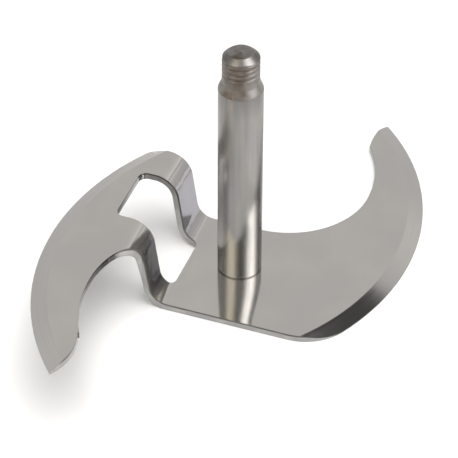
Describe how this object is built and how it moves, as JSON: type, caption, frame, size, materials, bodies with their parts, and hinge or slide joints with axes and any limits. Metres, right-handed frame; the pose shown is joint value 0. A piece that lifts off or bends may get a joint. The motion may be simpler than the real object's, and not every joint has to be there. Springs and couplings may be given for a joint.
{
  "type": "food processor blade",
  "caption": "Stepped sheet-steel cutting rotor with one low and one raised curved wing and an upright post with a threaded end.",
  "frame": {"origin": "on the post's axis, at the underside of the hub", "axes": "+Z along the post's axis towards its threaded end, +X along the hub from the post towards the low wing, +Y from the straight cutting-side edge of the hub towards its back edge"},
  "size_m": [0.0869, 0.1513, 0.0739],
  "materials": {
    "blade_sheet": "polished sheet, fine satin",
    "post": "turned and polished"
  },
  "bodies": {
    "root": {"blade_sheet": "blade_sheet", "post": "post"}
  },
  "joints": []
}
